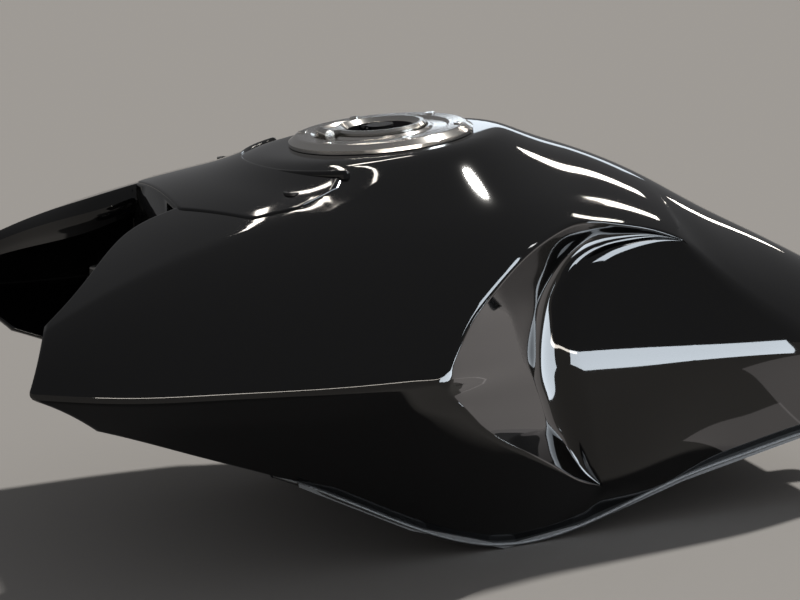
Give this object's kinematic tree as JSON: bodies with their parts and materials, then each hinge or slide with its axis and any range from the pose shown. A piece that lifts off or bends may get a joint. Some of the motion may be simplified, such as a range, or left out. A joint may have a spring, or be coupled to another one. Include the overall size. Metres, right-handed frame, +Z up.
{
  "type": "motorcycle fuel tank",
  "caption": "Gloss black motorcycle fuel tank with flared side wings, scooped knee recesses, a hinged locking filler cap, pump flange below and rubber mounts.",
  "frame": {"origin": "middle of the rear mounting bolt's hole, in its steel sleeve", "axes": "+X towards the steering head, +Y towards the rider's left, +Z up along the mounting bolts"},
  "size_m": [0.637, 0.4, 0.2715],
  "materials": {
    "gloss_paint": "gloss black lacquer over steel",
    "gloss_cover": "gloss black moulded cover",
    "satin_paint": "satin black on pressed steel",
    "ring_alloy": "machined and polished",
    "lid_alloy": "machined rim with a dark dish",
    "flap_alloy": "dark anodised",
    "barrel_steel": "turned face with a key slot",
    "ring_bolt_steel": "bright socket heads",
    "black_steel": "black socket screws",
    "pin_steel": "ground pin",
    "zinc_steel": "zinc plated",
    "seal_rubber": "matte",
    "mount_rubber": "matte",
    "pump_plastic": "glass filled nylon",
    "plug_plastic": "moulded socket"
  },
  "bodies": {
    "tank": {"tank_shell": "gloss_paint", "belly_pan": "satin_paint", "front_cover": "gloss_cover", "cover_screws": "black_steel", "filler_neck": "zinc_steel", "filler_ring": "ring_alloy", "ring_bolts": "ring_bolt_steel", "hinge_pin": "pin_steel", "pump_flange": "pump_plastic", "pump_bolts": "zinc_steel", "pump_connector": "plug_plastic", "fuel_outlet": "pump_plastic", "vent_stub": "zinc_steel", "overflow_stub": "zinc_steel", "rear_bracket": "satin_paint", "rear_grommet": "mount_rubber", "rear_sleeve": "zinc_steel", "front_lug_left": "satin_paint", "front_grommet_left": "mount_rubber", "front_sleeve_left": "zinc_steel", "front_lug_right": "satin_paint", "front_grommet_right": "mount_rubber", "front_sleeve_right": "zinc_steel"},
    "lid": {"filler_lid": "lid_alloy", "lid_seal": "seal_rubber", "lid_latch": "zinc_steel", "lock_barrel": "barrel_steel", "flap_pin": "pin_steel"},
    "flap": {"key_flap": "flap_alloy"}
  },
  "joints": [
    {"name": "lid_hinge", "type": "hinge", "parent": "tank", "child": "lid", "pos_m": [0.3885, 0, 0.1831], "axis": [0, 1, 0], "range_deg": [0, 100]},
    {"name": "flap_hinge", "type": "hinge", "parent": "lid", "child": "flap", "pos_m": [0.36112, 0, 0.18574], "axis": [0, 1, 0], "range_deg": [0, 95]}
  ]
}
